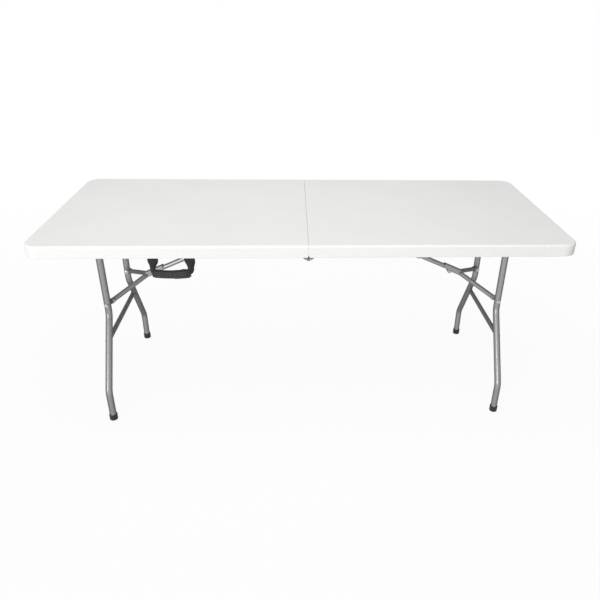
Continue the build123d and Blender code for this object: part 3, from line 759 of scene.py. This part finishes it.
sleeve_rule = wrap_rule(grip_low_x, sleeve_first_angle, sleeve_turn, 0, sleeve_thick)
sleeve = woven_sheet(
    "handle_grip_sleeve",
    sleeve_steps,
    sleeve_ribs,
    grip_high_x - grip_low_x,
    2 * grip_height,
    sleeve_rule,
    sleeve_thick,
)
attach(sleeve, "handle")
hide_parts("handle_loop")
patch_end_x = grip_high_x + patch_tail
patch_rule = wrap_rule(patch_start_x, -patch_turn / 2, patch_turn, patch_lift, 0)
patch = woven_sheet(
    "handle_grip_patch",
    sleeve_steps // 2,
    patch_ribs,
    patch_end_x - patch_start_x,
    grip_height,
    patch_rule,
    sleeve_thick,
)
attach(patch, "handle")

# Rows of stitches go up and down across the grip and hold its layers together.
# The thread is thick black nylon, worn a little paler than the webbing.
thread_dark = (0.13, 0.13, 0.13, 1)
thread_pale = (0.30, 0.30, 0.30, 1)
thread_roughness = (0.55, 0.75)
stitch_length = 0.0044
stitch_radius = 0.0008
stitch_sides = 8
stitch_rings = 6
stitch_inset = 0.0095
stitch_pitch = 0.0064
stitch_rows = 16
stitches_a_row = 3
stitch_reach = radians(48)
stitch_twist = 900
thread, tree, shader = new_material("stitching_thread")
along_thread = add_node(tree, "TexCoord").outputs["Object"]
plies = add_node(tree, "TexWave", {"Vector": along_thread, "Scale": stitch_twist, "Distortion": 1.5})
twist = plies.outputs["Fac"]
tree.links.new(mixed(tree, twist, thread_dark, thread_pale), shader.inputs["Base Color"])
tree.links.new(ranged(tree, twist, 0, 1, *thread_roughness), shader.inputs["Roughness"])
mesh = bmesh.new()
for row in range(stitch_rows):
    x = grip_low_x + stitch_inset + row * stitch_pitch
    on_patch = x > patch_start_x
    rule = patch_rule if on_patch else sleeve_rule
    low_x = patch_start_x if on_patch else grip_low_x
    first_angle = -patch_turn / 2 if on_patch else sleeve_first_angle
    turn = patch_turn if on_patch else sleeve_turn
    for stitch in range(stitches_a_row):
        angle = stitch_reach * (stitch / (stitches_a_row - 1) - 0.5)
        if not on_patch:
            angle += 2 * pi
        across = (angle - first_angle) / turn - 0.5
        middle = rule(x - low_x, across)
        made = bmesh.ops.create_uvsphere(
            mesh, u_segments=stitch_sides, v_segments=stitch_rings, radius=stitch_radius
        )["verts"]
        bmesh.ops.scale(mesh, vec=(1, 1, stitch_length / 2 / stitch_radius), verts=made)
        bmesh.ops.translate(mesh, vec=middle - Vector((0, sleeve_thick / 2, 0)), verts=made)
new_piece("handle_grip_stitches", mesh, thread, "handle")

# The studio: a pale floor that the table stands on, a white surround, and two soft lamps.
# A large lamp at the front left lights the apron and legs, and a weaker one above lights the top.
floor_size = 12
floor_squares = 4
floor_paint = (0.9, 0.9, 0.9, 1)
floor_glow_share = 0.94
floor_near = 1.2
floor_far = 3.0
surround_white = (1, 1, 1, 1)
surround_level = 0.16
key_power = 705
key_size = 3.4
key_place = (-4.6, -9.3, 2.6)
top_power = 78
top_size = 3.0
top_place = (-0.2, -0.5, 3.6)
light_target = Vector((0, 0, 0.6))


def seen_rays(tree):
    """1 for rays that look at the surround straight, in a reflection or through glass."""
    path = add_node(tree, "LightPath").outputs
    seen = reckoned(tree, "MAXIMUM", path["Is Camera Ray"], path["Is Glossy Ray"])
    return reckoned(tree, "MAXIMUM", seen, path["Is Transmission Ray"])


mesh = bmesh.new()
bmesh.ops.create_grid(mesh, x_segments=floor_squares, y_segments=floor_squares, size=floor_size)
floor_data = bpy.data.meshes.new("studio_floor")
mesh.to_mesh(floor_data)
mesh.free()
floor = bpy.data.objects.new("studio_floor", floor_data)
bpy.context.scene.collection.objects.link(floor)
floor_material = bpy.data.materials.new("studio_floor")
floor_material.use_nodes = True
tree = floor_material.node_tree
tree.nodes.remove(tree.nodes["Principled BSDF"])
paint = add_node(tree, "BsdfDiffuse", {"Color": floor_paint}).outputs["BSDF"]
glow = add_node(tree, "Emission", {"Strength": 1.0}).outputs["Emission"]
spot = add_node(tree, "TexCoord").outputs["Object"]
away = add_node(tree, "VectorMath", {0: spot}, operation="LENGTH").outputs["Value"]
share = ranged(tree, away, floor_near, floor_far, floor_glow_share, 1)
share = reckoned(tree, "MULTIPLY", seen_rays(tree), share)
surface = add_node(tree, "MixShader", {0: share, 1: paint, 2: glow}).outputs["Shader"]
tree.links.new(surface, tree.nodes["Material Output"].inputs["Surface"])
floor_data.materials.append(floor_material)

world = bpy.data.worlds.new("studio_surround")
bpy.context.scene.world = world
world.use_nodes = True
tree = world.node_tree
background = tree.nodes["Background"]
background.inputs["Color"].default_value = surround_white
level = ranged(tree, seen_rays(tree), 0, 1, surround_level, 1)
tree.links.new(level, background.inputs["Strength"])


def soft_lamp(name, power, size, place):
    """A square soft lamp aimed at the table."""
    lamp = bpy.data.lights.new(name, "AREA")
    lamp.energy = power
    lamp.size = size
    holder = bpy.data.objects.new(name, lamp)
    holder.location = place
    holder.rotation_euler = (light_target - Vector(place)).to_track_quat("-Z", "Y").to_euler()
    bpy.context.scene.collection.objects.link(holder)


soft_lamp("key_lamp", key_power, key_size, key_place)
soft_lamp("top_lamp", top_power, top_size, top_place)

# The camera stands in front of the table, a little left of the middle and above the top.
# Its place, tilt and lens come from fitting the table's corners, edges and feet in the photograph.
camera_place = Vector((-0.0496, -2.0916, 1.4642))
camera_pitch = radians(28.06)
camera_yaw = radians(-4.35)
camera_roll = radians(1.5)
camera_lens = 34.892
camera_sensor = 36
camera_shift = -0.0547
camera_data = bpy.data.cameras.new("camera")
camera_data.lens = camera_lens
camera_data.sensor_width = camera_sensor
camera_data.shift_x = camera_shift
camera = bpy.data.objects.new("camera", camera_data)
turned = Matrix.Rotation(camera_yaw, 4, "Z") @ Matrix.Rotation(pi / 2 - camera_pitch, 4, "X")
camera.matrix_world = Matrix.Translation(camera_place) @ turned @ Matrix.Rotation(camera_roll, 4, "Z")
bpy.context.scene.collection.objects.link(camera)
bpy.context.scene.camera = camera
bpy.context.scene.view_settings.view_transform = "Standard"
